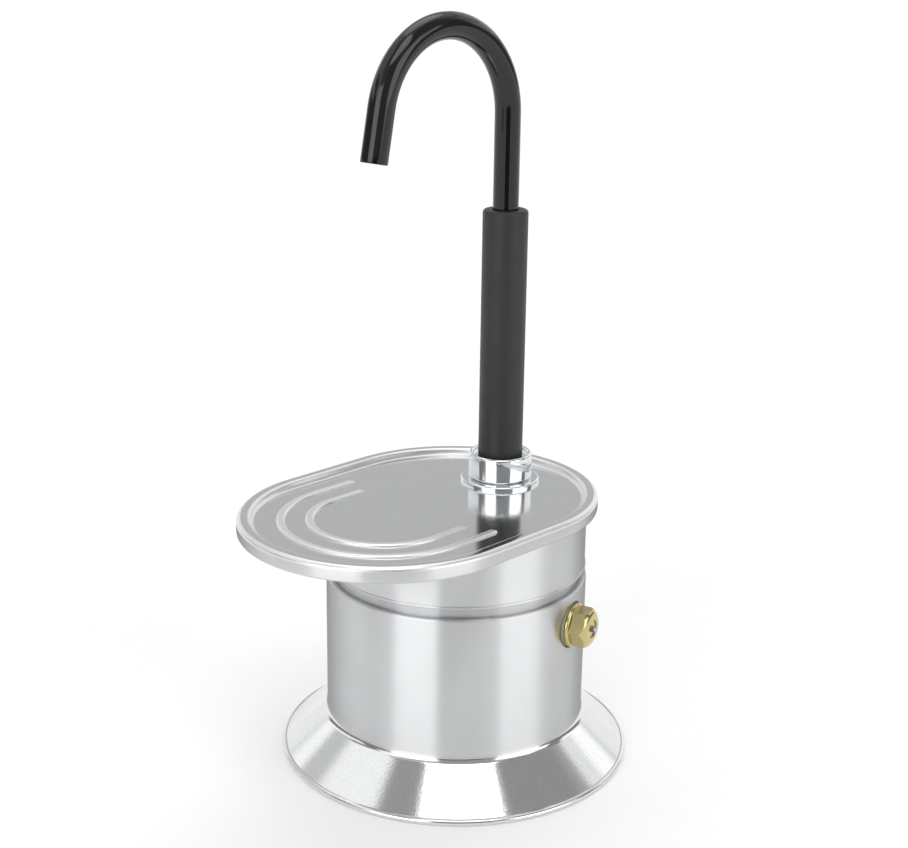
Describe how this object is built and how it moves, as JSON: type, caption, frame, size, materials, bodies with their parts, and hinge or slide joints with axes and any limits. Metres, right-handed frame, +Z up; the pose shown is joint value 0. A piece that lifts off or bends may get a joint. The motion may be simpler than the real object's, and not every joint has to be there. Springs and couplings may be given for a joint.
{
  "type": "stovetop espresso maker",
  "caption": "Small stovetop espresso maker: flared aluminium boiler, screw-on oval cup platform, and a black gooseneck spout with a rubber grip that pours into a cup on the platform.",
  "frame": {"origin": "centre of the foot's flat underside, on the boiler's axis", "axes": "+Z up along the boiler's axis; -Y towards the cup and the spout's mouth; +X to the side with the safety valve"},
  "size_m": [0.0842, 0.0992, 0.1742],
  "materials": {
    "polished_aluminium": "polished",
    "satin_aluminium": "satin, pressed",
    "chrome": "bright plated",
    "brass": "machined",
    "stainless_steel": "mill finish",
    "black_tube": "gloss black",
    "black_rubber": "matte, moulded",
    "silicone": "matte, moulded",
    "fibre": "pressed fibre sealing washer"
  },
  "bodies": {
    "boiler": {"boiler_shell": "polished_aluminium", "valve_washer": "fibre", "valve_body": "brass", "valve_nut": "brass", "valve_spring": "stainless_steel", "valve_cap": "brass"},
    "poppet": {"valve_poppet": "stainless_steel", "valve_seal": "silicone"},
    "basket": {"basket_cup": "satin_aluminium", "basket_screen": "stainless_steel", "funnel_stem": "satin_aluminium"},
    "seal": {"gasket": "silicone", "filter_plate": "stainless_steel"},
    "upper": {"cup_platform": "polished_aluminium", "fitting_body": "chrome", "fitting_ring": "silicone", "fitting_nut": "brass", "tube_olive": "brass", "ferrule_nut": "chrome", "spout_tube": "black_tube", "grip_sleeve": "black_rubber"}
  },
  "joints": [
    {"name": "upper_rise", "type": "slide", "parent": "boiler", "child": "seal", "axis": [0, 0, 1], "range_m": [0, 0.0121]},
    {"name": "upper_unscrew", "type": "hinge", "parent": "seal", "child": "upper", "pos_m": [0, 0, 0.0562], "axis": [0, 0, 1], "range_deg": [0, 1440]},
    {"name": "basket_lift", "type": "slide", "parent": "boiler", "child": "basket", "axis": [0, 0, 1], "range_m": [0, 0.0101]},
    {"name": "poppet_lift", "type": "slide", "parent": "boiler", "child": "poppet", "axis": [0.9681, 0.2504, 0], "range_m": [0, 0.0012], "stiffness_N_per_m": 800, "springref_m": -0.001, "deforming": ["valve_spring"]}
  ],
  "couplings": [
    {"joint": "upper_rise", "follows": "upper_unscrew", "m_per_rad": 0.00047746},
    {"joint": "basket_lift", "follows": "upper_unscrew", "m_per_rad": 0.00039789}
  ]
}
